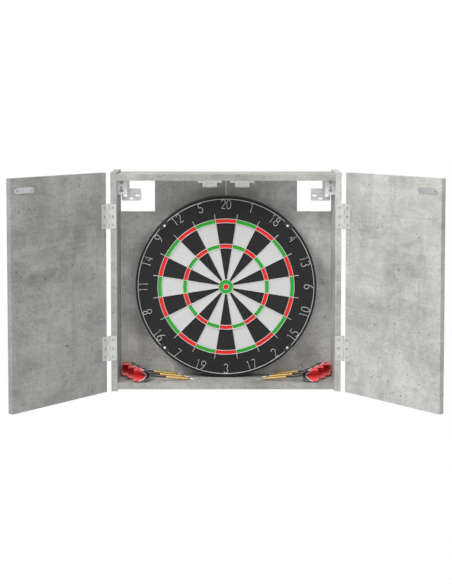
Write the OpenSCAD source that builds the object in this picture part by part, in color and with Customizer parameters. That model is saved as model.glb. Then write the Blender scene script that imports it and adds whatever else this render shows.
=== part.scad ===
// Dart board cabinet: a shallow wall cabinet with two doors that holds a bristle dart board and six darts.
// X runs to the right, -Y out of the front and Z up. The wall is the plane y = 0, and the origin lies
// midway between the two lower slots of the wall plates. The doors are drawn open.

/* [Carcass] */
// Outside width across the two side panels
carcass_w = 562; // [560:1:600]
// Height of the side panels and doors
carcass_h = 538; // [532:1:580]
// Depth of the carcass from the wall to its front edges
carcass_d = 115; // [115:1:130]
// Thickness of the coated board
board_t = 15; // [15:0.5:18]
// How far the top and bottom panels are set in from the ends of the sides
inset = 5; // [3:0.5:8]
// Thickness of the two back panels
back_t = 3; // [2.5:0.5:4]
// Depth of the space behind the back panels for the wall plates
back_gap = 12; // [12:0.5:14]
// Width of the cut-out in each upper corner of the back
notch_w = 87; // [80:1:95]
// Height of the cut-out in each upper corner of the back
notch_h = 85; // [80:1:95]

/* [Doors] */
// Angle the doors stand open at
door_open = 134; // [100:1:180]
// Gap between a closed door and the front edges of the carcass
door_gap = 5; // [5:0.5:6]
// Gap between the two closed doors
door_meeting_gap = 3; // [2:0.5:4]

/* [Hinges] */
// Height of a hinge leaf
hinge_h = 60; // [50:1:70]
// Distance of a hinge's middle from the end of the door
hinge_inset = 107; // [80:1:140]
// Reach of a leaf from the hinge axis
leaf_reach = 19; // [18:0.5:19.5]
// Thickness of a leaf
leaf_t = 1.2; // [1:0.1:1.5]
// Radius of a hinge pin
pin_r = 1.25; // [1.1:0.05:1.4]

/* [Dart board] */
// Radius of the board over its band
disc_r = 225.5; // [224:0.5:226]
// Full thickness of the board
disc_t = 36; // [32:1:38]
// Height of the bull above the shelf
bull_h = 229; // [228:0.5:235]
// Outside radius of the double ring
double_r = 170; // [168:0.5:172]
// Outside radius of the treble ring
treble_r = 107; // [105:0.5:109]
// Width of the double and treble rings
bed_w = 10; // [8:0.5:10.5]
// Radius of the outer bull
outer_bull_r = 18; // [15:0.5:20]
// Radius of the inner bull
bull_r = 7; // [6:0.5:8]
// Radius of the number ring's wire circle
ring_r = 219; // [217:0.5:219]
// Length of the radial wires, from the middle of the board
spoke_r = 183; // [180:1:188]

/* [Darts] */
// Half width of a flight
flight_r = 20; // [18:0.5:20]
// Length of a flight
flight_l = 39; // [36:1:42]
// Length of the bare stem between barrel and flight
stem_l = 41; // [36:1:42]
// Length of a barrel
barrel_l = 58; // [50:1:60]
// Radius of a barrel
barrel_r = 3.4; // [3:0.1:3.6]
// Bare length of a point
point_l = 21; // [18:1:30]

/* [Hidden] */
$fn = 48;

// Levels and planes of the carcass
side_in = carcass_w / 2 - board_t;          // inner face of a side panel, from the middle
ceiling = 54;                               // underside of the top panel, above the lower slots
top_end = ceiling + board_t + inset;        // upper end of the side panels
bottom_end = top_end - carcass_h;           // lower end of the side panels
shelf = bottom_end + inset + board_t;       // upper face of the bottom panel
back_face = -back_gap - back_t;             // front face of the back panels
front = -carcass_d;                         // plane of the carcass's front edges
groove = 4.5;                               // how far the back panels reach into their grooves
strip_w = 5.4;                              // flange width of the strip that joins the back panels
strip_t = 1.5;                              // flange thickness of that strip

// Hinges: the axis stands outside the side panel, midway in the door gap
axis_x = carcass_w / 2 + 5;
axis_y = front - door_gap / 2;
knuckle_r = door_gap / 2;
knuckle_n = 5;
knuckle_play = 0.15;
running_play = 0.05;
door_w = carcass_w / 2 - door_meeting_gap / 2;
hinge_zs = [top_end - hinge_inset, bottom_end + hinge_inset];
hinge_screw_zs = [-21, 0, 21];
hinge_screw_x = 10.5;                       // distance of the screw row from the axis

// Magnetic catches and strike plates
catch_x = 39.4;
catch_w = 34.6;
catch_ear_w = 59.5;
catch_ear_t = 5;
catch_h = 15.6;
catch_d = 20;
magnet_w = 23.5;
magnet_h = 9;
strike_w = 55;
strike_h = 14;
strike_t = 1.2;
strike_z = ceiling - 9;

// Hangers in the upper corners and the wall plates behind them
hanger_w = 23.5;
hanger_h = 35.6;
hanger_t = 1.5;
hanger_front = front + 20;
hanger_back = -18;
adjuster_x = side_in - 10;
height_screw_z = ceiling - 26.4;
depth_screw_z = ceiling - 4.7;
adjuster_r = 2.5;
adjuster_head_r = 3.2;
adjuster_hole_r = 4.6;
hook_t = 3;
plate_w = 49.6;
plate_x = 239.2;                            // middle of a wall plate
plate_t = 1.5;
plate_low = -5;
plate_bend = 12.9;                          // where the plate leaves the wall
lip_low = 17.9;
lip_top = ceiling - 27.7;
lip_y = -6.5;                               // back face of the upturned lip
slot_l = 10;
slot_r = 2.25;
upper_slot_z = 7.6;
upper_slot_dx = 15.4;

// Dart board: planes measured from its back face towards the front
bull_z = shelf + bull_h;
disc_back = back_face - 6.5;
disc_face = disc_back - disc_t;
backing_t = 8;
dye_t = 2;                                  // depth the coloured beds reach into the sisal
band_t = 0.8;
wire_r = 0.65;
ring_wire_r = 0.9;
digit_wire = 1.4;
digit_h = 24;
digit_w = 12;
clip_r = 216;                               // distance of a clip's stud from the middle
clip_w = 24;
clip_t = 3.2;
bush_r = 3;
screw_r = 2.5;
bridge_y = -19.5;                           // back face of the board hook's bridge
bridge_t = 1.5;
NUMBERS = [20, 1, 18, 4, 13, 6, 10, 15, 2, 17, 3, 19, 7, 16, 8, 11, 14, 9, 12, 5];
first_upright = 6;                          // index of the first number that reads with its top inwards
last_upright = 13;

// Darts: tail ends and rows
dart_rows = [20.5, 49.5, 79];               // distance of each dart's tail behind the front edges
dart_tails = [228, 245, 262];               // distance of each dart's tail from the middle
dart_yaws = [4, 3.3, 2.9];                  // how far each point is turned towards the back
dart_l = flight_l + stem_l + barrel_l + point_l;
rest_gap = 0.3;                             // clearance under a loose piece
wing_t = 0.6;
wing_rise = 14;                             // length over which a wing widens
tail_rise = (flight_r + wing_t / 2) * sin(45) + rest_gap;  // height of the axis where a wing is widest
point_r = 1.1;
dart_tilt = asin((tail_rise - point_r - rest_gap) / (dart_l - flight_l + wing_rise)) + 0.1;

CONCRETE = [0.60, 0.60, 0.58];
STEEL = [0.80, 0.81, 0.82];

// ---- helpers ----

// Turns flat work drawn in X and Z so that its extrusion runs from a plane y towards the front
module facing(y) translate([0, y, 0]) rotate([90, 0, 0]) children();

// A box from one corner to the opposite one
module block(a, b) translate(a) cube(b - a);

// The same work on the left (-1) or the right (1)
module on_side(s) if (s < 0) mirror([1, 0, 0]) children(); else children();

// A disc or ring about the bull's axis, from one distance in front of the board's back to another
module on_board() translate([0, disc_back, bull_z]) rotate([90, 0, 0]) children();

// A countersunk or pan-headed wood screw pointing along -Z from its seat at z = 0
module wood_screw(length, flush = false) {
    translate([0, 0, -length]) cylinder(r = 1.7, h = length);
    if (flush) translate([0, 0, -1]) cylinder(r1 = 1.7, r2 = 3.1, h = 1);
    else difference() {
        cylinder(r = 3, h = 1);
        for (a = [0, 90]) rotate(a) translate([-2, -0.4, 0.4]) cube([4, 0.8, 2]);
    }
}

// A slot along X, as flat work
module flat_slot(length, r) {
    square([length - 2 * r, 2 * r], center = true);
    for (s = [-1, 1]) translate([s * (length / 2 - r), 0]) circle(r = r);
}

// ---- wall plates ----

module wall_plate(s) color(STEEL) on_side(s) difference() {
    intersection() {
        translate([plate_x - plate_w / 2, 0, 0]) rotate([90, 0, 90]) linear_extrude(plate_w)
            polygon([[0, plate_low], [0, plate_bend + 0.7], [lip_y, lip_low + 0.7], [lip_y, lip_top],
                     [lip_y - plate_t, lip_top], [lip_y - plate_t, lip_low], [-plate_t, plate_bend],
                     [-plate_t, plate_low]]);
        facing(1) linear_extrude(20) translate([plate_x, 0]) {
            translate([-plate_w / 2, plate_low + 4]) square([plate_w, 60]);
            translate([-plate_w / 2 + 4, plate_low]) square([plate_w - 8, 10]);
            for (e = [-1, 1]) translate([e * (plate_w / 2 - 4), plate_low + 4]) circle(r = 4);
        }
    }
    facing(1) linear_extrude(4) {
        translate([plate_x, 0]) flat_slot(slot_l, slot_r);
        for (e = [-1, 1]) translate([plate_x + e * upper_slot_dx, upper_slot_z]) flat_slot(slot_l, slot_r);
    }
}

module left_wall_plate() wall_plate(-1);
module right_wall_plate() wall_plate(1);

// ---- carcass ----

module side_panel(s) color(CONCRETE) on_side(s) difference() {
    block([side_in, front, bottom_end], [carcass_w / 2, 0, top_end]);
    block([side_in - 1, back_face, shelf - groove], [side_in + groove, -back_gap, ceiling + groove]);
}

module left_side() side_panel(-1);
module right_side() side_panel(1);

module cam_bores(z, depth)
    for (s = [-1, 1]) translate([s * (side_in - 24), -carcass_d / 2, z]) cylinder(r = 7.5, h = depth);

module top_panel() color(CONCRETE) difference() {
    block([-side_in, front, ceiling], [side_in, 0, ceiling + board_t]);
    block([-side_in - 1, back_face, ceiling - 1], [side_in + 1, -back_gap, ceiling + groove]);
    cam_bores(ceiling - 1, 13);
}

module bottom_panel() color(CONCRETE) difference() {
    block([-side_in, front, shelf - board_t], [side_in, 0, shelf]);
    block([-side_in - 1, back_face, shelf - groove], [side_in + 1, -back_gap, shelf + 1]);
    cam_bores(shelf - board_t - 1, 13);
}

// One thin back panel, with the corner cut out for the hanger
module back_panel(s) color(CONCRETE) on_side(s) difference() {
    block([0.75, back_face, shelf - groove], [side_in + groove, -back_gap, ceiling + groove]);
    block([side_in - notch_w, back_face - 1, ceiling - notch_h], [carcass_w, 1, top_end]);
}

module left_back_panel() back_panel(-1);
module right_back_panel() back_panel(1);

// H-shaped strip that takes the meeting edges of the two back panels
module back_joint_strip() color([0.78, 0.78, 0.76]) {
    block([-strip_w / 2, back_face - strip_t, shelf], [strip_w / 2, back_face, ceiling]);
    block([-strip_w / 2, -back_gap, shelf], [strip_w / 2, -back_gap + strip_t, ceiling]);
    block([-0.75, back_face - 0.1, shelf], [0.75, -back_gap + 0.1, ceiling]);
}

// Hat-shaped plate with a slot open at the top, which the board's screw drops into
module board_hook() color(STEEL) difference() {
    union() {
        for (s = [-1, 1]) on_side(s) {
            block([17, back_face - bridge_t, bull_z - 22], [36, back_face, bull_z + 12]);
            block([15.5, bridge_y - bridge_t, bull_z - 22], [17, back_face, bull_z + 12]);
        }
        block([-17, bridge_y - bridge_t, bull_z - 22], [17, bridge_y, bull_z + 12]);
    }
    facing(bridge_y + 1) linear_extrude(5) {
        translate([0, bull_z]) circle(r = bush_r + 0.3);
        translate([-bush_r - 0.3, bull_z]) square([2 * bush_r + 0.6, 20]);
    }
    for (s = [-1, 1], z = [-16, 6]) translate([s * 28, back_face + 1, bull_z + z])
        rotate([90, 0, 0]) cylinder(r = 1.8, h = 5);
}

// Cam discs let into the panels, each with the bolt that it draws from the side panel
module cam_fittings() color(STEEL) for (s = [-1, 1], z = [ceiling, shelf - board_t]) on_side(s) {
    difference() {
        translate([side_in - 24, -carcass_d / 2, z]) cylinder(r = 7.45, h = 11.5);
        translate([side_in - 24, -carcass_d / 2, z - 1]) for (a = [0, 90]) rotate(a)
            translate([-3.5, -0.7, 0]) cube([7, 1.4, 3]);
    }
    translate([side_in - 16.4, -carcass_d / 2, z + board_t / 2]) rotate([0, 90, 0]) cylinder(r = 3, h = 26);
}

// Wooden dowels that line up the corners, two at each
module corner_dowels() color([0.75, 0.60, 0.42])
    for (s = [-1, 1], z = [ceiling, shelf - board_t], y = [0.22, 0.78]) on_side(s)
        translate([side_in - 14, -carcass_d * y, z + board_t / 2]) rotate([0, 90, 0]) cylinder(r = 4, h = 24);

// ---- magnetic catches ----

module catch(s) color([0.86, 0.86, 0.87]) on_side(s) difference() {
    union() {
        block([catch_x - catch_w / 2, front - 3, ceiling - catch_h],
              [catch_x + catch_w / 2, front + catch_d, ceiling]);
        block([catch_x - catch_ear_w / 2, front - 1, ceiling - catch_ear_t],
              [catch_x + catch_ear_w / 2, front + 13, ceiling]);
    }
    block([catch_x - magnet_w / 2, front - 4, ceiling - 4 - magnet_h],
          [catch_x + magnet_w / 2, front + 14, ceiling - 4]);
    for (e = [-1, 1]) {
        translate([catch_x + e * 24.5, front + 6, ceiling - 6]) cylinder(r = 1.8, h = 7);
        translate([catch_x + e * 13.4, front + 4, ceiling - catch_h + 2.2]) rotate([90, 0, 0])
            cylinder(r = 1, h = 9);
    }
}

module left_catch() catch(-1);
module right_catch() catch(1);

// Each magnet lies between two steel pole plates that stand just proud of the housing
module catch_magnets() for (s = [-1, 1]) on_side(s) {
    low = ceiling - 4 - magnet_h;
    color(STEEL) for (z = [low, low + magnet_h - 1.5])
        block([catch_x - magnet_w / 2, front - 3.4, z], [catch_x + magnet_w / 2, front + 12, z + 1.5]);
    color([0.72, 0.66, 0.66]) block([catch_x - magnet_w / 2, front - 3, low + 1.5],
                                    [catch_x + magnet_w / 2, front + 12, low + magnet_h - 1.5]);
}

// ---- cabinet hangers ----

// Bent steel channel against the side panel and under the ceiling
module hanger(s) color(STEEL) on_side(s) difference() {
    union() {
        block([side_in - hanger_w, hanger_front, ceiling - hanger_h],
              [side_in, hanger_front + hanger_t, ceiling]);
        block([side_in - hanger_t, hanger_front, ceiling - hanger_h], [side_in, hanger_back, ceiling]);
        block([side_in - hanger_w, hanger_front, ceiling - hanger_h],
              [side_in - hanger_w + hanger_t, hanger_back, ceiling]);
    }
    for (z = [height_screw_z, depth_screw_z]) translate([adjuster_x, hanger_front + 3, z])
        rotate([90, 0, 0]) cylinder(r = adjuster_hole_r, h = 5);
    translate([adjuster_x, hanger_front + 3, ceiling - 18.3]) rotate([90, 0, 0]) cylinder(r = 2.2, h = 5);
    for (y = [-78, -40]) translate([side_in - 3, y, ceiling - 10]) rotate([0, 90, 0]) cylinder(r = 1.8, h = 5);
}

module left_hanger() hanger(-1);
module right_hanger() hanger(1);

// Arm with a claw that drops over the wall plate's lip, and a block that the two adjusting screws turn in
module hanger_hook(s) color(STEEL) on_side(s) difference() {
    union() {
        translate([adjuster_x - hook_t / 2, 0, 0]) rotate([90, 0, 90]) linear_extrude(hook_t)
            polygon([[-80, 43], [-2.5, 43], [-2.5, lip_top - 6], [lip_y + 0.4, lip_top - 6],
                     [lip_y + 0.4, lip_top + rest_gap], [lip_y - plate_t - 0.4, lip_top + rest_gap],
                     [lip_y - plate_t - 0.4, lip_top - 4], [-20, lip_top - 4], [-32, 32], [-80, 32]]);
        block([adjuster_x - 4.5, -62, ceiling - 31], [adjuster_x + 4.5, -54, ceiling - 0.5]);
    }
    for (z = [height_screw_z, depth_screw_z]) translate([adjuster_x, -50, z]) rotate([90, 0, 0])
        cylinder(r = adjuster_r + 0.08, h = 15);
}

module left_hanger_hook() hanger_hook(-1);
module right_hanger_hook() hanger_hook(1);

// Cross-slotted adjusting screw, turned from the front
module adjuster(s, z) color(STEEL) on_side(s) translate([adjuster_x, hanger_front + 1, z]) rotate([90, 0, 0])
    difference() {
        union() {
            translate([0, 0, -45]) cylinder(r = adjuster_r, h = 45.5);
            cylinder(r = adjuster_head_r, h = 2);
            translate([0, 0, 2]) cylinder(r1 = adjuster_head_r, r2 = adjuster_head_r - 0.7, h = 0.6);
        }
        for (a = [0, 90]) rotate(a) translate([-2.6, -0.5, 1.2]) cube([5.2, 1, 3]);
    }

module left_height_screw() adjuster(-1, height_screw_z);
module right_height_screw() adjuster(1, height_screw_z);
module left_depth_screw() adjuster(-1, depth_screw_z);
module right_depth_screw() adjuster(1, depth_screw_z);

// ---- hinges ----

// Height span of knuckle i, counted from the bottom
function knuckle_z(i) = -hinge_h / 2 + i * hinge_h / knuckle_n;

// One leaf about an axis at the origin, flat along +X with its outer face on y = lift.
// Its knuckles are every second one from the first given
module leaf(lift, first) {
    flat_low = min(lift, lift - sign(lift) * leaf_t);
    difference() {
        union() {
            block([knuckle_r + 0.6, flat_low, -hinge_h / 2], [leaf_reach, flat_low + leaf_t, hinge_h / 2]);
            for (i = [first : 2 : knuckle_n - 1]) {
                z = knuckle_z(i) + knuckle_play;
                h = hinge_h / knuckle_n - 2 * knuckle_play;
                translate([0, 0, z]) cylinder(r = knuckle_r, h = h);
                block([0, flat_low, z], [knuckle_r + 1, flat_low + leaf_t, z + h]);
            }
        }
        translate([0, 0, -hinge_h]) cylinder(r = pin_r + running_play, h = 2 * hinge_h);
        for (z = hinge_screw_zs) translate([hinge_screw_x, lift - sign(lift) * leaf_t, z])
            rotate([sign(lift) * 90, 0, 0]) {
                translate([0, 0, -4]) cylinder(r = 1.9, h = 8);
                if (z != 0) translate([0, 0, -1]) cylinder(r1 = 1.9, r2 = 4.1, h = 1.5);
            }
    }
}

// Carries hinge work to each of the two hinges on one side, closed position
module at_hinges(s) on_side(s) for (z = hinge_zs) translate([axis_x, axis_y, z]) mirror([1, 0, 0]) children();

module frame_leaves(s) color(STEEL) at_hinges(s) leaf(knuckle_r, 0);
module left_frame_leaves() frame_leaves(-1);
module right_frame_leaves() frame_leaves(1);

module hinge_pins() color(STEEL) for (s = [-1, 1]) at_hinges(s) {
    translate([0, 0, -hinge_h / 2 - 0.6]) cylinder(r = pin_r, h = hinge_h + 1.2);
    for (z = [-hinge_h / 2 - 1.2, hinge_h / 2 + 0.2]) translate([0, 0, z]) cylinder(r = 2, h = 1);
}

// ---- screws of the carcass ----

module frame_screws() color(STEEL) for (s = [-1, 1]) {
    at_hinges(s) for (z = hinge_screw_zs)
        translate([hinge_screw_x, knuckle_r - leaf_t, z]) rotate([90, 0, 0]) wood_screw(14, z != 0);
    on_side(s) {
        for (e = [-1, 1]) translate([catch_x + e * 24.5, front + 6, ceiling - catch_ear_t])
            rotate([180, 0, 0]) wood_screw(16);
        for (y = [-78, -40])
            translate([side_in - hanger_t, y, ceiling - 10]) rotate([0, -90, 0]) wood_screw(12);
        for (z = [-16, 6]) translate([28, back_face - bridge_t, bull_z + z]) rotate([90, 0, 0]) wood_screw(5);
    }
}

// ---- doors, drawn closed and swung open about the hinge axis ----

module swung(s) on_side(s) translate([axis_x, axis_y, 0]) rotate([0, 0, door_open])
    translate([-axis_x, -axis_y, 0]) children();

module door(s) color(CONCRETE) swung(s)
    block([door_meeting_gap / 2, front - door_gap - board_t, bottom_end],
          [carcass_w / 2, front - door_gap, top_end]);

module left_door() door(-1);
module right_door() door(1);

module door_leaves(s) color(STEEL) on_side(s) for (z = hinge_zs) translate([axis_x, axis_y, z])
    rotate([0, 0, door_open]) mirror([1, 0, 0]) leaf(-knuckle_r, 1);
module left_door_leaves() door_leaves(-1);
module right_door_leaves() door_leaves(1);

module strike_place() translate([catch_x, front - door_gap, strike_z]) children();

module strike_plate(s) color(STEEL) swung(s) strike_place() difference() {
    rotate([-90, 0, 0]) linear_extrude(strike_t) flat_slot(strike_w, strike_h / 2);
    for (e = [-1, 1]) translate([e * 20.5, -1, 0]) rotate([-90, 0, 0]) cylinder(r = 1.9, h = 5);
}
module left_strike_plate() strike_plate(-1);
module right_strike_plate() strike_plate(1);

module door_screws(s) color(STEEL) {
    on_side(s) for (z = hinge_zs) translate([axis_x, axis_y, z]) rotate([0, 0, door_open]) mirror([1, 0, 0])
        for (dz = hinge_screw_zs) translate([hinge_screw_x, -knuckle_r + leaf_t, dz])
            rotate([-90, 0, 0]) wood_screw(11, dz != 0);
    swung(s) strike_place() for (e = [-1, 1]) translate([e * 20.5, strike_t, 0])
        rotate([-90, 0, 0]) wood_screw(11);
}
module left_door_screws() door_screws(-1);
module right_door_screws() door_screws(1);

// ---- dart board ----

module ring_solid(r1, r2, z1, z2) rotate_extrude() translate([r1, z1]) square([r2 - r1, z2 - z1]);

module board_backing() color([0.45, 0.36, 0.26]) on_board() difference() {
    cylinder(r = disc_r - band_t - 0.5, h = backing_t);
    translate([0, 0, -1]) cylinder(r = screw_r, h = backing_t + 2);
}

module board_core() color([0.78, 0.70, 0.52]) on_board() difference() {
    translate([0, 0, backing_t]) cylinder(r = disc_r - band_t, h = disc_t - backing_t - dye_t);
    cylinder(r = screw_r, h = 20);
}

module rim_band() color([0.16, 0.16, 0.16]) on_board()
    ring_solid(disc_r - band_t, disc_r, backing_t - 3, disc_t);

// Bed between two radii over the 18 degrees about a number
module bed(i, r1, r2) rotate(81 - 18 * i) rotate_extrude(angle = 18)
    translate([r1, disc_t - dye_t]) square([r2 - r1, dye_t]);

// The two plain beds of every second number, from the even (0) or odd (1) index
module plain_beds(first) for (i = [first : 2 : 19]) {
    bed(i, outer_bull_r, treble_r - bed_w);
    bed(i, treble_r, double_r - bed_w);
}

module scoring_beds(first) for (i = [first : 2 : 19]) {
    bed(i, treble_r - bed_w, treble_r);
    bed(i, double_r - bed_w, double_r);
}

module black_sisal() color([0.12, 0.12, 0.12]) on_board() {
    plain_beds(0);
    ring_solid(double_r, disc_r - band_t, disc_t - dye_t, disc_t);
}
module white_sisal() color([0.82, 0.80, 0.74]) on_board() plain_beds(1);
module red_sisal() color([0.85, 0.10, 0.10]) on_board() {
    scoring_beds(0);
    translate([0, 0, disc_t - dye_t]) cylinder(r = bull_r, h = dye_t);
}
module green_sisal() color([0.10, 0.55, 0.20]) on_board() {
    scoring_beds(1);
    ring_solid(bull_r, outer_bull_r, disc_t - dye_t, disc_t);
}

// Wire circle of the given radius with its middle z in front of the board's back
module wire_circle(r, z, thick) rotate_extrude() translate([r, z]) circle(r = thick, $fn = 14);

// Radial wires lie on the face and the wire rings lie on top of them
module spider() color(STEEL) on_board() {
    for (i = [0 : 19]) rotate(81 - 18 * i) translate([outer_bull_r, 0, disc_t + wire_r]) rotate([0, 90, 0])
        cylinder(r = wire_r, h = spoke_r - outer_bull_r, $fn = 16);
    for (r = [bull_r, outer_bull_r, treble_r - bed_w, treble_r, double_r - bed_w, double_r])
        wire_circle(r, disc_t + 3 * wire_r + 0.05, wire_r);
}

// Points along part of an ellipse
function arc(c, r, a, b, n = 8) = [for (i = [0 : n])
    let (t = a + (b - a) * i / n) c + [r[0] * cos(t), r[1] * sin(t)]];

// Wire strokes of each figure in a box 10 wide and 20 high
STROKES = [
    [arc([5, 10], [4.3, 9.3], 100, 442, 20)],
    [[[2.6, 16.4], [5, 19.3], [5, 0.7]]],
    [concat(arc([4.9, 14.6], [4.1, 4.7], 165, -30), [[1.4, 1.2], [9, 1.2]])],
    [concat(arc([4.7, 14.8], [4, 4.5], 150, -65), arc([4.5, 5.4], [4.4, 4.7], 65, -150))],
    [[[7, 0.7], [7, 18.6], [1.2, 6], [5.8, 6]]],
    [concat([[8.6, 19.2], [2.4, 19.2], [1.7, 11.6]], arc([4.4, 6.2], [4.5, 5.5], 105, -150))],
    [concat([[7.6, 19.2], [3, 14]], arc([5, 5.7], [4.3, 5], 165, 475, 14))],
    [[[1.2, 19.2], [8.8, 19.2], [4, 0.7]]],
    [arc([5, 14.9], [3.3, 4.2], -75, 255, 14), arc([5, 5.6], [4.2, 4.9], 100, 440, 16)],
    [concat([[2.4, 0.8], [7, 6]], arc([5, 14.3], [4.3, 5], -15, 295, 14))]
];

function along(a, b) = (b - a) / norm(b - a);
function heading(p, i) = i == 0 ? along(p[0], p[1]) : i == len(p) - 1 ? along(p[i - 1], p[i])
    : let (d = along(p[i - 1], p[i]) + along(p[i], p[i + 1])) d / norm(d);
// Half-width offset at point i, lengthened at corners so that the wire keeps its width
function offset_at(p, i, w) = let (h = heading(p, i), d = i == 0 ? h : along(p[i - 1], p[i]))
    [-h[1], h[0]] * w / 2 / max(0.5, h * d);
function wire_outline(p, w) = concat([for (i = [0 : len(p) - 1]) p[i] + offset_at(p, i, w)],
                                     [for (i = [len(p) - 1 : -1 : 0]) p[i] - offset_at(p, i, w)]);

// A figure as flat work about the middle of its box
module figure(d) for (stroke = STROKES[d]) translate([-digit_w / 2, -digit_h / 2])
    polygon(wire_outline([for (p = stroke) [p[0] * digit_w / 10, p[1] * digit_h / 20]], digit_wire));

module number(n) {
    if (n > 9) {
        translate([-digit_w * 0.57, 0]) figure(floor(n / 10));
        translate([digit_w * 0.57, 0]) figure(n % 10);
    } else figure(n);
}

module number_ring() color([0.85, 0.85, 0.86]) on_board() {
    ring_solid(ring_r - ring_wire_r, ring_r + ring_wire_r,
               disc_t + rest_gap, disc_t + rest_gap + 2 * ring_wire_r);
    for (i = [0 : 19]) rotate(-18 * i)
        translate([0, ring_r - ring_wire_r - 0.1 - digit_h / 2, disc_t + rest_gap])
        rotate(i >= first_upright && i <= last_upright ? 180 : 0) linear_extrude(1.4) number(NUMBERS[i]);
}

// Clips outside the number ring, each with a plate that reaches in over the wire and carries a round stud
module ring_clips() color([0.92, 0.92, 0.92]) on_board() for (i = [0 : 3]) rotate(45 + 90 * i) {
    block([ring_r + ring_wire_r + 0.4, -clip_w / 2, disc_t], [disc_r - 1.5, clip_w / 2, disc_t + clip_t]);
    block([clip_r - 3.5, -clip_w / 2, disc_t + clip_t - 0.7], [disc_r - 1.5, clip_w / 2, disc_t + clip_t]);
    translate([clip_r, 0, disc_t + clip_t - 0.1]) cylinder(r = 2.8, h = 0.5);
}

// Screw in the middle of the board's back, with a broad head behind the hook's bridge
module hanging_screw() color(STEEL) on_board() {
    translate([0, 0, -4]) cylinder(r = screw_r, h = 19);
    translate([0, 0, -4.3]) cylinder(r = 6, h = 2);
}

module hanging_bush() color([0.9, 0.9, 0.88]) on_board() translate([0, 0, -1.95]) difference() {
    cylinder(r = bush_r, h = 1.6);
    translate([0, 0, -1]) cylinder(r = screw_r + running_play, h = 4);
}

module back_pads() color([0.2, 0.2, 0.2]) on_board() for (i = [0 : 2]) rotate(90 + 120 * i)
    translate([190, 0, -4.2]) cylinder(r = 10, h = 4.2);

// ---- darts, drawn lying on the shelf with the points towards the middle ----

// Carries a dart drawn from its point (origin) along +X to its place on one side
module dart_place(s, k) on_side(s)
    translate([dart_tails[k], front + dart_rows[k], shelf + point_r + rest_gap]) rotate([0, 0, -dart_yaws[k]])
        translate([-dart_l * cos(dart_tilt), 0, 0]) rotate([0, -dart_tilt, 0]) children();

module dart_barrel(s, k) color([0.80, 0.62, 0.30]) dart_place(s, k) rotate([0, 90, 0]) {
    cylinder(r1 = 0.2, r2 = point_r, h = 5);
    translate([0, 0, 5]) cylinder(r = point_r, h = point_l - 5);
    translate([0, 0, point_l]) cylinder(r1 = 2.4, r2 = barrel_r, h = 6);
    translate([0, 0, point_l + 6]) cylinder(r = barrel_r, h = barrel_l - 10);
    translate([0, 0, point_l + barrel_l - 4]) cylinder(r1 = barrel_r, r2 = 3, h = 4);
}

// Outline of one wing, from the stem outwards
function wing() = concat([[0, 0]],
    [for (i = [0 : 6]) let (t = 90 * i / 6) [wing_rise * (1 - cos(t)), 1.5 + (flight_r - 1.5) * sin(t)]],
    [for (i = [0 : 4]) let (t = 90 - 90 * i / 4) [flight_l - 7 + 7 * cos(t), flight_r - 7 + 7 * sin(t)]],
    [[flight_l, 0]]);

module dart_flight(s, k) color([0.1, 0.1, 0.1]) dart_place(s, k) translate([point_l + barrel_l, 0, 0]) {
    rotate([0, 90, 0]) cylinder(r1 = 2.6, r2 = 2, h = 8);
    translate([8, 0, 0]) rotate([0, 90, 0]) cylinder(r = 2.1, h = stem_l + flight_l - 14);
    for (a = [45 : 90 : 315]) translate([stem_l, 0, 0]) rotate([a, 0, 0]) translate([0, 0, -wing_t / 2])
        linear_extrude(wing_t) polygon(wing());
}

module left_front_dart_barrel() dart_barrel(-1, 0);
module left_front_dart_flight() dart_flight(-1, 0);
module left_middle_dart_barrel() dart_barrel(-1, 1);
module left_middle_dart_flight() dart_flight(-1, 1);
module left_back_dart_barrel() dart_barrel(-1, 2);
module left_back_dart_flight() dart_flight(-1, 2);
module right_front_dart_barrel() dart_barrel(1, 0);
module right_front_dart_flight() dart_flight(1, 0);
module right_middle_dart_barrel() dart_barrel(1, 1);
module right_middle_dart_flight() dart_flight(1, 1);
module right_back_dart_barrel() dart_barrel(1, 2);
module right_back_dart_flight() dart_flight(1, 2);

left_wall_plate();
right_wall_plate();
left_side();
right_side();
top_panel();
bottom_panel();
left_back_panel();
right_back_panel();
back_joint_strip();
board_hook();
cam_fittings();
corner_dowels();
left_catch();
right_catch();
catch_magnets();
left_hanger();
right_hanger();
left_hanger_hook();
right_hanger_hook();
left_height_screw();
right_height_screw();
left_depth_screw();
right_depth_screw();
left_frame_leaves();
right_frame_leaves();
hinge_pins();
frame_screws();
left_door();
right_door();
left_door_leaves();
right_door_leaves();
left_door_screws();
right_door_screws();
left_strike_plate();
right_strike_plate();
board_backing();
board_core();
rim_band();
black_sisal();
white_sisal();
red_sisal();
green_sisal();
spider();
number_ring();
ring_clips();
hanging_screw();
hanging_bush();
back_pads();
left_front_dart_barrel();
left_front_dart_flight();
left_middle_dart_barrel();
left_middle_dart_flight();
left_back_dart_barrel();
left_back_dart_flight();
right_front_dart_barrel();
right_front_dart_flight();
right_middle_dart_barrel();
right_middle_dart_flight();
right_back_dart_barrel();
right_back_dart_flight();
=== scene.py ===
"""Looks for the dart board cabinet: camera, light, materials and the fine detail of board and darts."""
import bpy
import bmesh
import math
from mathutils import Matrix, Vector


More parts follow.
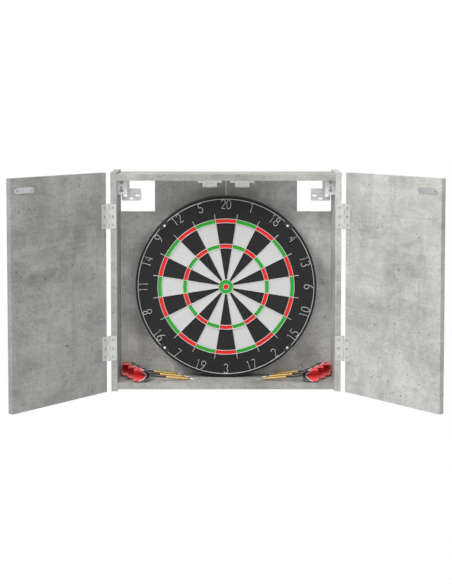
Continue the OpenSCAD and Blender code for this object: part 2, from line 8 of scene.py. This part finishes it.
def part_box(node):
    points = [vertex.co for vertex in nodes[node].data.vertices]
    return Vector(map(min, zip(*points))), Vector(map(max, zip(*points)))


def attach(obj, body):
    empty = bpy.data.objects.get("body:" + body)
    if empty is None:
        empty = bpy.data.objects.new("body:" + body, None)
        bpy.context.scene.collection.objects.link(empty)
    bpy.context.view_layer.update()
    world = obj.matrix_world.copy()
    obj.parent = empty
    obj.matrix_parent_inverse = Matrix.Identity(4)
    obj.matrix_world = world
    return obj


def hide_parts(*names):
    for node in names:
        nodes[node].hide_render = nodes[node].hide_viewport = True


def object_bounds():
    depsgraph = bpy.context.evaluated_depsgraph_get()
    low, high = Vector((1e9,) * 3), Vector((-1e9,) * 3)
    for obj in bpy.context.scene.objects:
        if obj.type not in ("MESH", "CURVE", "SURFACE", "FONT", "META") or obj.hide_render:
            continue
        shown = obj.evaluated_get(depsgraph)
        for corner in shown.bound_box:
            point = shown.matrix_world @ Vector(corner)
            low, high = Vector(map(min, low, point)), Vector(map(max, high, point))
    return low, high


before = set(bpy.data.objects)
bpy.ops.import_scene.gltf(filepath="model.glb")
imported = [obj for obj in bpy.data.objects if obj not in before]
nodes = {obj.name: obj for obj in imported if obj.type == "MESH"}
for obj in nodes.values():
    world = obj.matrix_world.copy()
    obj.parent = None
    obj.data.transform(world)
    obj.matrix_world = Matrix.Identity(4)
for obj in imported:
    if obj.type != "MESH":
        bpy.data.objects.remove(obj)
cad_lo, cad_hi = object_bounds()
scene = bpy.context.scene
scene.view_settings.view_transform = "Standard"
scene.view_settings.look = "None"
MM = 0.001

# Sizes and places of the part, in millimetres
BULL = Vector((0, 0, -215.0))
SHELF_Z, FRONT_Y = -444, -115
RING_R = 219.0                  # middle of the number ring's wire
RING_HALF = 0.9                 # half the thickness of the CAD ring's square wire
DIGIT_SCALE = 1.2               # a digit is drawn 10 wide and 20 high, then scaled
CLIP_R = 216                    # from the bull to the stud of a clip
STUD_EDGE = (2.85, 2.95)        # the stud's white ends between these radii
FLIGHT_AT = 120.0               # from a dart's point to the front of its flight
FLIGHT_R, FLIGHT_L = 20.0, 39.0
WING_RISE = 14                  # length over which a wing widens


# ---------- shader helpers ----------

class Shader:
    """A material's node tree, built with short calls."""

    def __init__(self, name):
        self.mat = bpy.data.materials.new(name)
        self.mat.use_nodes = True
        self.tree = self.mat.node_tree
        self.tree.nodes.clear()
        self.out = self.tree.nodes.new("ShaderNodeOutputMaterial")
        self.bsdf = self.tree.nodes.new("ShaderNodeBsdfPrincipled")
        self.tree.links.new(self.bsdf.outputs[0], self.out.inputs[0])
        self.coord = self.tree.nodes.new("ShaderNodeTexCoord").outputs["Object"]

    def put(self, socket, value):
        if isinstance(value, bpy.types.NodeSocket):
            self.tree.links.new(value, socket)
        elif isinstance(value, (tuple, list)) and len(value) == 3 and socket.type == "RGBA":
            socket.default_value = (*value, 1)
        else:
            socket.default_value = value

    def set(self, **inputs):
        for key, value in inputs.items():
            self.put(self.bsdf.inputs[key.replace("_", " ")], value)

    def math(self, op, a, b=0.0, clamp=False):
        n = self.tree.nodes.new("ShaderNodeMath")
        n.operation, n.use_clamp = op, clamp
        self.put(n.inputs[0], a)
        self.put(n.inputs[1], b)
        return n.outputs[0]

    def stretch(self, scale, move=(0, 0, 0)):
        n = self.tree.nodes.new("ShaderNodeMapping")
        self.put(n.inputs["Vector"], self.coord)
        n.inputs["Scale"].default_value = scale
        n.inputs["Location"].default_value = move
        return n.outputs[0]

    def noise(self, scale, detail=4.0, rough=0.55, vector=None, distortion=0.0):
        n = self.tree.nodes.new("ShaderNodeTexNoise")
        self.put(n.inputs["Vector"], vector or self.coord)
        n.inputs["Scale"].default_value = scale
        n.inputs["Detail"].default_value = detail
        n.inputs["Roughness"].default_value = rough
        n.inputs["Distortion"].default_value = distortion
        return n.outputs["Fac"]

    def cells(self, scale, vector=None):
        n = self.tree.nodes.new("ShaderNodeTexVoronoi")
        self.put(n.inputs["Vector"], vector or self.coord)
        n.inputs["Scale"].default_value = scale
        return n.outputs["Distance"]

    def span(self, value, low, high, to_low=0.0, to_high=1.0):
        n = self.tree.nodes.new("ShaderNodeMapRange")
        self.put(n.inputs["Value"], value)
        for key, number in (("From Min", low), ("From Max", high), ("To Min", to_low), ("To Max", to_high)):
            n.inputs[key].default_value = number
        return n.outputs[0]

    def blend(self, fac, a, b, mode="MIX"):
        n = self.tree.nodes.new("ShaderNodeMix")
        n.data_type, n.blend_type = "RGBA", mode
        self.put(n.inputs[0], fac)
        self.put(n.inputs[6], a)
        self.put(n.inputs[7], b)
        return n.outputs[2]

    def bump(self, height, distance, strength=1.0):
        n = self.tree.nodes.new("ShaderNodeBump")
        self.put(n.inputs["Height"], height)
        n.inputs["Distance"].default_value = distance
        n.inputs["Strength"].default_value = strength
        self.put(self.bsdf.inputs["Normal"], n.outputs[0])


def grey(v):
    """Concrete grey of brightness v, slightly warm."""
    return (v, v, v * 0.95)


def concrete(name, tone, seed):
    """Coated board printed as cast concrete: clouds, trowel smears, pores and a fine grain."""
    s = Shader(name)
    moved = s.stretch((1, 1, 1), (seed, seed * 0.7, seed * 1.3))
    clouds = s.noise(6.5, 10, 0.66, moved, 0.3)
    patches = s.noise(22, 8, 0.68, moved, 0.7)
    mottle = s.noise(75, 6, 0.7, moved, 0.4)
    smear = s.noise(3, 7, 0.6, s.stretch((1.2, 1.2, 9), (seed * 2, 0, seed)), 0.8)
    drips = s.noise(3, 7, 0.65, s.stretch((10, 10, 1.1), (seed, seed, seed * 3)), 0.5)
    grain = s.noise(420, 3, 0.7, moved)
    scratch = s.noise(34, 8, 0.75, s.stretch((1, 1, 5), (seed * 3, seed, 0)), 0.3)
    crumbs = s.noise(190, 4, 0.7, moved)
    colour = s.blend(s.span(clouds, 0.36, 0.64), grey(tone * 0.62), grey(tone * 1.22))
    colour = s.blend(s.span(patches, 0.44, 0.68, 0, 0.45), colour, grey(tone * 1.40))
    colour = s.blend(s.span(mottle, 0.42, 0.70, 0, 0.30), colour, grey(tone * 0.60))
    colour = s.blend(s.span(smear, 0.50, 0.68, 0, 0.28), colour, grey(tone * 1.42))
    colour = s.blend(s.span(drips, 0.50, 0.70, 0, 0.45), colour, grey(tone * 0.58))
    colour = s.blend(s.span(scratch, 0.53, 0.66, 0, 0.30), colour, grey(tone * 0.55))
    colour = s.blend(s.span(scratch, 0.47, 0.36, 0, 0.22), colour, grey(tone * 1.50))
    colour = s.blend(s.span(crumbs, 0.54, 0.68, 0, 0.42), colour, grey(tone * 0.42))
    colour = s.blend(s.span(grain, 0.3, 0.7, 0.0, 0.16), colour, grey(tone * 0.45))
    # Pores: few and dark, gathered where the cast skin is rough
    where = s.span(s.noise(11, 5, 0.65, moved), 0.49, 0.56)
    depth = s.span(s.noise(60, 2, 0.5, moved), 0.42, 0.60)
    fine_pit = s.span(s.cells(185, s.stretch((1, 1, 1.4), (seed * 5, 0, 0))), 0.16, 0.30, 0.75, 0)
    broad_pit = s.span(s.cells(62, s.stretch((1, 1, 1.8), (0, seed * 4, seed))), 0.085, 0.13, 1, 0)
    pit = s.math("MAXIMUM", s.math("MULTIPLY", fine_pit, depth), broad_pit)
    pores = s.math("MULTIPLY", pit, where)
    speck = s.span(s.noise(95, 3, 0.6, moved), 0.66, 0.72)
    dark = s.math("MAXIMUM", pores, s.math("MULTIPLY", speck, 0.8), clamp=True)
    colour = s.blend(s.math("MULTIPLY", dark, 0.8), colour, grey(tone * 0.20))
    s.set(Base_Color=colour, Roughness=s.span(patches, 0.3, 0.7, 0.42, 0.62))
    height = s.math("SUBTRACT", s.math("MULTIPLY", grain, 0.35), dark)
    s.bump(height, 0.00025, 0.5)
    return s.mat


def metal(name, colour, rough, brushed=(1, 1, 1), metallic=1.0, wear=0.25):
    """Plated or painted metal with dull stains and fine brush lines across the stretched axis."""
    s = Shader(name)
    stain = s.noise(60, 5, 0.6)
    lines = s.noise(500, 3, 0.6, s.stretch(brushed))
    dull = tuple(c * 0.72 for c in colour)
    s.set(Base_Color=s.blend(s.span(stain, 0.4, 0.75, 0, wear * 2), colour, dull), Metallic=metallic,
          Roughness=s.span(lines, 0.3, 0.7, rough * 0.75, rough * 1.35))
    s.bump(lines, 0.00004, 0.35)
    return s.mat


def plastic(name, colour, rough):
    """Moulded plastic or rubber with a fine grain."""
    s = Shader(name)
    fine = s.noise(900, 3, 0.6)
    broad = s.noise(30, 4, 0.6)
    dark = tuple(c * 0.78 for c in colour)
    s.set(Base_Color=s.blend(s.span(broad, 0.35, 0.75, 0, 0.3), colour, dark),
          Roughness=s.span(fine, 0.3, 0.7, rough * 0.85, rough * 1.2))
    s.bump(fine, 0.00006, 0.4)
    return s.mat


def sisal(name, colour, spread):
    """Ends of packed fibres: specks of light and dark with a short nap, and a few dart pricks."""
    s = Shader(name)
    fibre = s.noise(1500, 2, 0.8)
    clump = s.noise(170, 4, 0.6)
    light = tuple(min(1, c * (1 + spread) + 0.012) for c in colour)
    dark = tuple(c * (1 - spread) for c in colour)
    tint = s.blend(s.span(fibre, 0.30, 0.70), dark, light)
    tint = s.blend(s.span(clump, 0.35, 0.75, 0, 0.35), tint, dark)
    prick = s.span(s.cells(140), 0.05, 0.09, 1, 0)
    prick = s.math("MULTIPLY", prick, s.span(s.noise(22, 3, 0.5), 0.56, 0.62))
    tint = s.blend(s.math("MULTIPLY", prick, 0.55), tint, tuple(c * 0.3 for c in colour))
    s.set(Base_Color=tint, Roughness=0.85, Sheen_Weight=0.12, Specular_IOR_Level=0.25)
    s.bump(s.math("SUBTRACT", fibre, prick), 0.00025, 0.6)
    return s.mat


def timber(name, colour):
    """Bare wood: drawn-out rings over short chips."""
    s = Shader(name)
    rings = s.noise(30, 6, 0.65, s.stretch((0.6, 6, 6)), 1.2)
    chips = s.cells(260)
    tint = s.blend(s.span(rings, 0.35, 0.65), tuple(c * 0.66 for c in colour), colour)
    tint = s.blend(s.span(chips, 0.1, 0.7, 0.35, 0), tint, tuple(c * 0.45 for c in colour))
    s.set(Base_Color=tint, Roughness=0.75)
    s.bump(chips, 0.0002, 0.5)
    return s.mat


def clip_plastic(name):
    """Black clips, each with a white stud, told apart by the distance from the stud's middle."""
    s = Shader(name)
    split = s.tree.nodes.new("ShaderNodeSeparateXYZ")
    s.put(split.inputs[0], s.coord)
    off = CLIP_R * MM * math.sqrt(0.5)
    u = s.math("SUBTRACT", s.math("ABSOLUTE", split.outputs[0]), off)
    v = s.math("SUBTRACT", s.math("ABSOLUTE", s.math("ADD", split.outputs[2], -BULL.z * MM)), off)
    away = s.math("SQRT", s.math("ADD", s.math("MULTIPLY", u, u), s.math("MULTIPLY", v, v)))
    fine = s.noise(600, 4, 0.6)
    white = s.blend(s.span(fine, 0.35, 0.7), (0.78, 0.78, 0.77), (0.88, 0.88, 0.88))
    black = s.blend(s.span(fine, 0.35, 0.7), (0.016, 0.016, 0.017), (0.030, 0.030, 0.030))
    in_black = s.span(away, STUD_EDGE[0] * MM, STUD_EDGE[1] * MM)
    s.set(Base_Color=s.blend(in_black, white, black), Roughness=s.span(fine, 0.3, 0.7, 0.35, 0.5))
    s.bump(fine, 0.00006, 0.4)
    return s.mat


def flight_film(name):
    """Printed film: red tail, a white line curving in to the stem and black in front of it."""
    s = Shader(name)
    split = s.tree.nodes.new("ShaderNodeSeparateXYZ")
    s.put(split.inputs[0], s.coord)
    x, y, z = split.outputs
    radius = s.math("SQRT", s.math("ADD", s.math("MULTIPLY", y, y), s.math("MULTIPLY", z, z)))
    along = s.math("SUBTRACT", x, FLIGHT_AT * MM)
    ratio = s.math("DIVIDE", radius, FLIGHT_R * MM)
    line = s.math("ADD", s.math("MULTIPLY", s.math("POWER", ratio, 1.7), 17 * MM), 7 * MM)
    past = s.math("SUBTRACT", along, line)
    wrinkle = s.noise(240, 4, 0.6)
    red = s.blend(s.span(wrinkle, 0.35, 0.7), (0.52, 0.008, 0.010), (0.72, 0.016, 0.018))
    black = s.blend(s.span(wrinkle, 0.35, 0.7), (0.006, 0.006, 0.007), (0.018, 0.018, 0.019))
    tint = s.blend(s.span(past, -0.0001, 0.0001), black, (0.88, 0.87, 0.86))
    tint = s.blend(s.span(past, 0.0017, 0.0019), tint, red)
    s.set(Base_Color=tint, Roughness=s.span(wrinkle, 0.3, 0.7, 0.42, 0.58), Coat_Weight=0.08)
    s.bump(wrinkle, 0.0001, 0.4)
    return s.mat


# ---------- materials on the CAD nodes ----------

def dress(material, *names):
    """Gives CAD nodes their material in place of the one they came with."""
    for n in names:
        nodes[n].data.materials.clear()
        nodes[n].data.materials.append(material)


# Every panel carries the same concrete print; its tone differs part by part to paint the light and shade it
# gets: painted shade on the left door and left side, painted light on the right door, right side and back
# panels
dress(concrete("concrete_left_door", 0.38, 3.1), "left_door")
dress(concrete("concrete_right_door", 0.52, 8.4), "right_door")
dress(concrete("concrete_left_side", 0.40, 5.2), "left_side")
dress(concrete("concrete_right_side", 0.53, 6.9), "right_side")
dress(concrete("concrete_top", 0.41, 11.3), "top_panel")
dress(concrete("concrete_bottom", 0.41, 13.8), "bottom_panel")
dress(concrete("concrete_left_back", 0.59, 17.1), "left_back_panel")
dress(concrete("concrete_right_back", 0.60, 21.7), "right_back_panel")
dress(plastic("strip_plastic", (0.86, 0.86, 0.84), 0.5), "back_joint_strip")

zinc = metal("zinc_plate", (0.80, 0.80, 0.81), 0.30, (1, 1, 14))
dress(zinc, "board_hook", "left_hanger_hook", "right_hanger_hook", "left_strike_plate", "right_strike_plate",
      "cam_fittings")
pressed = metal("pressed_zinc", (0.84, 0.84, 0.83), 0.42, (14, 1, 1), metallic=0.35, wear=0.15)
dress(pressed, "left_hanger", "right_hanger")
dress(metal("wall_plate_zinc", (0.97, 0.97, 0.96), 0.28, (14, 1, 1), metallic=0.85, wear=0.1),
      "left_wall_plate", "right_wall_plate")
screw = metal("screw_steel", (0.50, 0.52, 0.55), 0.35, metallic=0.6)
dress(screw, "left_height_screw", "right_height_screw", "left_depth_screw", "right_depth_screw",
      "frame_screws", "left_door_screws", "right_door_screws", "hanging_screw", "hinge_pins")
hinge = metal("hinge_enamel", (0.64, 0.64, 0.62), 0.42, metallic=0.25, wear=0.12)
dress(hinge, "left_frame_leaves", "right_frame_leaves", "left_door_leaves", "right_door_leaves")
dress(timber("beech_dowel", (0.62, 0.44, 0.26)), "corner_dowels")
dress(plastic("catch_plastic", (0.45, 0.45, 0.44), 0.42), "left_catch", "right_catch")
dress(plastic("magnet_face", (0.46, 0.41, 0.41), 0.35), "catch_magnets")
dress(timber("chipboard", (0.36, 0.25, 0.15)), "board_backing")
dress(sisal("sisal_raw", (0.50, 0.40, 0.24), 0.4), "board_core")
dress(metal("rim_paint", (0.03, 0.03, 0.03), 0.45, metallic=0.3), "rim_band")
dress(sisal("sisal_black", (0.013, 0.013, 0.013), 0.35), "black_sisal")
dress(sisal("sisal_white", (0.62, 0.62, 0.615), 0.14), "white_sisal")
dress(sisal("sisal_red", (0.84, 0.022, 0.016), 0.22), "red_sisal")
dress(sisal("sisal_green", (0.028, 0.40, 0.030), 0.25), "green_sisal")
wire = metal("bright_wire", (0.74, 0.74, 0.74), 0.40, metallic=0.35)
dress(wire, "spider")
dress(clip_plastic("clip_plastic"), "ring_clips")
dress(plastic("bush_plastic", (0.80, 0.80, 0.78), 0.3), "hanging_bush")
dress(plastic("pad_rubber", (0.03, 0.03, 0.03), 0.8), "back_pads")
brass = metal("barrel_brass", (0.66, 0.44, 0.16), 0.42, (12, 1, 1), metallic=0.6, wear=0.3)
point_steel = metal("point_steel", (0.72, 0.73, 0.75), 0.20)
stem_black = plastic("stem_black", (0.012, 0.012, 0.012), 0.35)
film = flight_film("flight_film")


# ---------- number ring ----------

def mesh_object(name, verts, faces, material):
    """Smooth-shaded object made of points in metres."""
    data = bpy.data.meshes.new(name)
    data.from_pydata(verts, [], faces)
    data.update()
    data.shade_smooth()
    data.materials.append(material)
    obj = bpy.data.objects.new(name, data)
    scene.collection.objects.link(obj)
    return obj


def arc(c, r, a, b, n=14):
    """Points on an ellipse about c with half axes r, from angle a to b in degrees."""
    steps = [math.radians(a + (b - a) * i / n) for i in range(n + 1)]
    return [(c[0] + r[0] * math.cos(t), c[1] + r[1] * math.sin(t)) for t in steps]


# Strokes of the digits 0 to 9
STROKES = [
    [arc((5, 10), (4.3, 9.3), 100, 442, 28)],
    [[(2.6, 16.4), (5, 19.3), (5, 0.7)]],
    [arc((4.9, 14.6), (4.1, 4.7), 165, -30) + [(1.4, 1.2), (4, 1.6), (6.4, 0.9), (9, 1.5)]],
    [arc((4.7, 14.8), (4, 4.5), 150, -65) + arc((4.5, 5.4), (4.4, 4.7), 65, -150)],
    [[(7, 0.7), (7, 18.6), (1.2, 6), (5.8, 6)]],
    [[(8.6, 19.2), (2.4, 19.2), (1.7, 11.6)] + arc((4.4, 6.2), (4.5, 5.5), 105, -150)],
    [[(7.6, 19.2), (3, 14)] + arc((5, 5.7), (4.3, 5), 165, 475, 20)],
    [[(1.2, 19.2), (8.8, 19.2), (4, 0.7)]],
    [arc((5, 14.9), (3.3, 4.2), -75, 255, 20), arc((5, 5.6), (4.2, 4.9), 100, 440, 22)],
    [[(2.4, 0.8), (7, 6)] + arc((5, 14.3), (4.3, 5), -15, 295, 20)],
]
NUMBERS = [20, 1, 18, 4, 13, 6, 10, 15, 2, 17, 3, 19, 7, 16, 8, 11, 14, 9, 12, 5]
UPRIGHT = range(6, 14)          # places in NUMBERS below the bull, turned to stand upright
DIGIT_STEP = 6.84               # half the distance between the two figures of a number
DIGIT_MIDDLE = RING_R - 13.0    # from the bull to the middle of a digit
RING_WIRE, DIGIT_WIRE = 0.72, 0.66
DIGIT_AHEAD = 0.1               # how far the digits lie in front of the ring
ring_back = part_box("number_ring")[1].y
RING_Y = ring_back * 1000 - RING_HALF


def tube(name, paths, radius, material, closed=False):
    """Round wire along each path of points, in millimetres, as one mesh."""
    curve = bpy.data.curves.new(name, "CURVE")
    curve.dimensions = "3D"
    curve.bevel_depth = radius * MM
    curve.bevel_resolution = 3
    curve.use_fill_caps = True
    for p in paths:
        line = curve.splines.new("POLY")
        line.points.add(len(p) - 1)
        for point, co in zip(line.points, p):
            point.co = (*(Vector(co) * MM), 1)
        line.use_cyclic_u = closed
        line.use_smooth = True
    obj = bpy.data.objects.new(name, curve)
    scene.collection.objects.link(obj)
    bpy.context.view_layer.update()
    data = bpy.data.meshes.new_from_object(obj.evaluated_get(bpy.context.evaluated_depsgraph_get()))
    bpy.data.objects.remove(obj)
    data.materials.clear()
    data.materials.append(material)
    data.name = name
    made = bpy.data.objects.new(name, data)
    scene.collection.objects.link(made)
    return made


def ring_points(radius, y, n=160):
    return [(radius * math.sin(2 * math.pi * i / n), y, BULL.z + radius * math.cos(2 * math.pi * i / n))
            for i in range(n)]


ring_wire = tube("number_ring_wire", [ring_points(RING_R, RING_Y)], RING_WIRE, wire, closed=True)
digits = []
for i, number in enumerate(NUMBERS):
    turn = math.radians(18 * i)
    figures = [int(c) for c in str(number)]
    for k, figure in enumerate(figures):
        shift = (k * 2 - 1) * DIGIT_STEP if len(figures) == 2 else 0
        for stroke in STROKES[figure]:
            path = []
            for u, v in stroke:
                a, b = (u - 5) * DIGIT_SCALE + shift, (v - 10) * DIGIT_SCALE
                if i in UPRIGHT:
                    a, b = -a, -b
                b += DIGIT_MIDDLE
                path.append((a * math.cos(turn) + b * math.sin(turn), RING_Y - DIGIT_AHEAD,
                             BULL.z - a * math.sin(turn) + b * math.cos(turn)))
            digits.append(path)
ring_digits = tube("number_ring_digits", digits, DIGIT_WIRE, wire)
for piece in (ring_wire, ring_digits):
    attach(piece, "number_ring")
    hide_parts("number_ring")


# ---------- darts ----------

def lathe(name, profile, material, segments=40):
    """Turned piece along +X through (x, radius) points, in millimetres."""
    verts, faces = [], []
    for x, r in profile:
        for k in range(segments):
            a = 2 * math.pi * k / segments
            verts.append((x * MM, max(r, 0.02) * math.cos(a) * MM, max(r, 0.02) * math.sin(a) * MM))
    for i in range(len(profile) - 1):
        for k in range(segments):
            n = (k + 1) % segments
            faces.append((i * segments + k, (i + 1) * segments + k, (i + 1) * segments + n, i * segments + n))
    faces.append(tuple(range(segments)))
    faces.append(tuple(range(len(verts) - 1, len(verts) - segments - 1, -1)))
    return mesh_object(name, verts, faces, material)


def barrel_profile():
    """Turned barrel as (x, radius): a nose, three sets of grip rings with plain bands between, and a tail."""
    top, root = 3.38, 3.08
    made = [(21, 1.3), (21.2, 2.2), (22.2, 2.4), (24, 2.8), (27, 3.3)]
    x = 28.0
    while x < 72.5:
        made += [(x, top), (x + 0.25, root), (x + 0.75, root), (x + 1.0, top)]
        x += 4.6 if 43 < x < 46 or 58 < x < 60 else 1.6
    return made + [(75, top), (77, 3.2), (78.7, 2.95), (79, 2.6)]


POINT_PROFILE = [(0, 0.1), (0.6, 0.35), (2, 0.62), (5, 1.0), (9, 1.08), (21.4, 1.08)]
STEM_PROFILE = [(78.6, 1.6), (79.4, 2.55), (82, 2.55), (83, 2.15), (88, 2.05), (96, 1.85),
                (108, 1.85), (112, 2.0), (116, 2.08), (128, 1.9), (146, 1.5), (147, 0.8)]


def wing_outline():
    """A wing's outline as (x from its front, distance from the axis): a quarter wave up to a rounded end."""
    up = [math.pi / 2 * i / 10 for i in range(11)]
    down = [math.pi / 2 * (1 - i / 8) for i in range(9)]
    rise = [(WING_RISE * (1 - math.cos(t)), 1.5 + 18.4 * math.sin(t)) for t in up]
    fall = [(32 + 6.9 * math.cos(t), 12.9 + 7 * math.sin(t)) for t in down]
    return rise + fall + [(38.6, 6), (38, 1.2)]


def wing_mesh(name, angles):
    """Thin wings about the X axis, one at each angle, closed at their outer edge and at both ends."""
    verts, faces = [], []
    edge = wing_outline()
    n, rows = len(edge), 9
    for a in angles:
        out, side = Vector((0, math.cos(a), math.sin(a))), Vector((0, -math.sin(a), math.cos(a)))
        for sign in (-1, 1):
            base = len(verts)
            for x, r in edge:
                for j in range(rows):
                    d = 0.6 + (r - 0.6) * j / (rows - 1)
                    thick = 0.24 - 0.10 * j / (rows - 1) + 0.05 * math.cos(x * 0.55) * j / (rows - 1)
                    verts.append((Vector((x + FLIGHT_AT, 0, 0)) + out * d + side * sign * thick) * MM)
            for i in range(n - 1):
                for j in range(rows - 1):
                    q = (base + i * rows + j, base + (i + 1) * rows + j, base + (i + 1) * rows + j + 1,
                         base + i * rows + j + 1)
                    faces.append(q if sign < 0 else q[::-1])
        lower, upper = len(verts) - 2 * n * rows, len(verts) - n * rows
        rim = [i * rows + rows - 1 for i in range(n)]
        for p, q in zip(rim, rim[1:]):
            faces.append((lower + p, lower + q, upper + q, upper + p))
        for row in (0, n - 1):
            for j in range(rows - 1):
                p, q = row * rows + j, row * rows + j + 1
                faces.append((lower + p, lower + q, upper + q, upper + p))
    obj = mesh_object(name, verts, faces, film)
    edit = bmesh.new()
    edit.from_mesh(obj.data)
    bmesh.ops.recalc_face_normals(edit, faces=edit.faces)
    edit.to_mesh(obj.data)
    edit.free()
    return obj


# How the darts lie, front to back: tails from the middle, distances from the front edge and turns in degrees
TAILS = (228.0, 245.0, 262.0)
ROWS = (20.5, 49.5, 79.0)
YAWS = (4.0, 3.3, 2.9)
DART_L, POINT_R, GAP = 159.0, 1.1, 0.3
rests_at = DART_L - FLIGHT_L + WING_RISE
TILT = math.asin(((FLIGHT_R + 0.3) * math.sin(math.pi / 4) - POINT_R) / rests_at) + math.radians(0.1)
for side, sign in (("left", -1), ("right", 1)):
    for k, row in enumerate(("front", "middle", "back")):
        dart = f"{side}_{row}_dart"
        yaw = math.radians(-YAWS[k]) if sign > 0 else math.radians(180 + YAWS[k])
        tail = Vector((sign * TAILS[k], FRONT_Y + ROWS[k], SHELF_Z + POINT_R + GAP))
        place = (Matrix.Translation(tail * MM)
                 @ Matrix.Rotation(yaw, 4, "Z") @ Matrix.Translation((-DART_L * math.cos(TILT) * MM, 0, 0))
                 @ Matrix.Rotation(-TILT, 4, "Y"))
        tip = lathe(dart + "_point", POINT_PROFILE, point_steel, 24)
        body = lathe(dart + "_barrel_turned", barrel_profile(), brass)
        stem = lathe(dart + "_stem", STEM_PROFILE, stem_black, 28)
        wings = wing_mesh(dart + "_wings", [math.radians(45 + 90 * q) for q in range(4)])
        for piece, cad, slot in ((tip, "_barrel", "dart_brass"), (body, "_barrel", "dart_brass"),
                                 (stem, "_flight", "dart_flight"), (wings, "_flight", "dart_flight")):
            piece.matrix_world = place
            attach(piece, dart)
            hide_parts(dart + cad)


# ---------- floor, light and camera ----------

FLOOR_DROP = 0.9                # metres from the part down to the floor
FLOOR_HALF = 30                 # half the floor's width
MELT = (0.4, 1.15)              # the floor turns white between these distances
WHITE = (1, 1, 1, 1)
ROOM_LIGHT = 0.50               # the white room as matt faces see it; the camera sees 1
MIRRORED = 0.6                  # how far metal sees it brightened towards 1
AIM = (0, -0.1, -0.2)           # where the lamps point
CAMERA_AT, CAMERA_PITCH = (0, -2.882, 0.263), 87
LENS, SENSOR, SHIFT_Y = 70.4, 36, -0.2356

floor_at = cad_lo.z - FLOOR_DROP
corners = [(x * FLOOR_HALF, y * FLOOR_HALF, floor_at) for x, y in ((-1, -1), (1, -1), (1, 1), (-1, 1))]
ground = bpy.data.meshes.new("floor")
ground.from_pydata(corners, [], [(0, 1, 2, 3)])
pale = Shader("floor_pale")
cloudy = pale.span(pale.noise(2, 3), 0.3, 0.7)
pale.set(Base_Color=pale.blend(cloudy, (0.90, 0.90, 0.90), (0.94, 0.94, 0.94)), Roughness=0.9)
# Away from the object the floor melts into the white surroundings, for the camera only
radial = pale.tree.nodes.new("ShaderNodeVectorMath")
radial.operation = "LENGTH"
pale.put(radial.inputs[0], pale.stretch((1, 1, 0), (0, 0.4, 0)))
sight = pale.tree.nodes.new("ShaderNodeLightPath")
white = pale.tree.nodes.new("ShaderNodeEmission")
melt = pale.tree.nodes.new("ShaderNodeMixShader")
melted = pale.span(radial.outputs["Value"], *MELT)
pale.put(melt.inputs[0], pale.math("MULTIPLY", melted, sight.outputs["Is Camera Ray"]))
pale.tree.links.new(pale.bsdf.outputs[0], melt.inputs[1])
pale.tree.links.new(white.outputs[0], melt.inputs[2])
pale.tree.links.new(melt.outputs[0], pale.out.inputs[0])
ground.materials.append(pale.mat)
floor = bpy.data.objects.new("floor", ground)
scene.collection.objects.link(floor)

world = bpy.data.worlds.new("studio")
scene.world = world
world.use_nodes = True
room = world.node_tree
room.nodes.clear()
surface = room.nodes.new("ShaderNodeOutputWorld")
mix = room.nodes.new("ShaderNodeMixShader")
ray = room.nodes.new("ShaderNodeLightPath")
fill, seen = room.nodes.new("ShaderNodeBackground"), room.nodes.new("ShaderNodeBackground")
for node, strength in ((fill, ROOM_LIGHT), (seen, 1.0)):
    node.inputs[0].default_value, node.inputs[1].default_value = WHITE, strength
# Metal mirrors a brighter room than the one that lights the matt faces
share = room.nodes.new("ShaderNodeMath")
share.operation, share.use_clamp = "MULTIPLY_ADD", True
share.inputs[1].default_value = MIRRORED
for start, end in ((ray.outputs["Is Glossy Ray"], share.inputs[0]),
                   (ray.outputs["Is Camera Ray"], share.inputs[2]), (share.outputs[0], mix.inputs[0]),
                   (fill.outputs[0], mix.inputs[1]), (seen.outputs[0], mix.inputs[2]),
                   (mix.outputs[0], surface.inputs[0])):
    room.links.new(start, end)


def lamp(name, place, size, power):
    """Round soft lamp, size across in metres and power in watts, turned towards AIM."""
    data = bpy.data.lights.new(name, "AREA")
    data.shape, data.size, data.energy = "DISK", size, power
    obj = bpy.data.objects.new(name, data)
    obj.location = place
    obj.rotation_euler = (Vector(AIM) - Vector(place)).to_track_quat("-Z", "Y").to_euler()
    scene.collection.objects.link(obj)


lamp("key", (-2.1, -2.3, 2.4), 1.2, 80)
lamp("fill", (1.8, -3.1, 1.7), 2.0, 16)
lamp("top", (0.0, -1.1, 2.6), 1.2, 34)

camera = bpy.data.objects.new("camera", bpy.data.cameras.new("camera"))
camera.location = CAMERA_AT
camera.rotation_euler = (math.radians(CAMERA_PITCH), 0, 0)
camera.data.lens = LENS
camera.data.sensor_width = SENSOR
camera.data.shift_y = SHIFT_Y
scene.collection.objects.link(camera)
scene.camera = camera
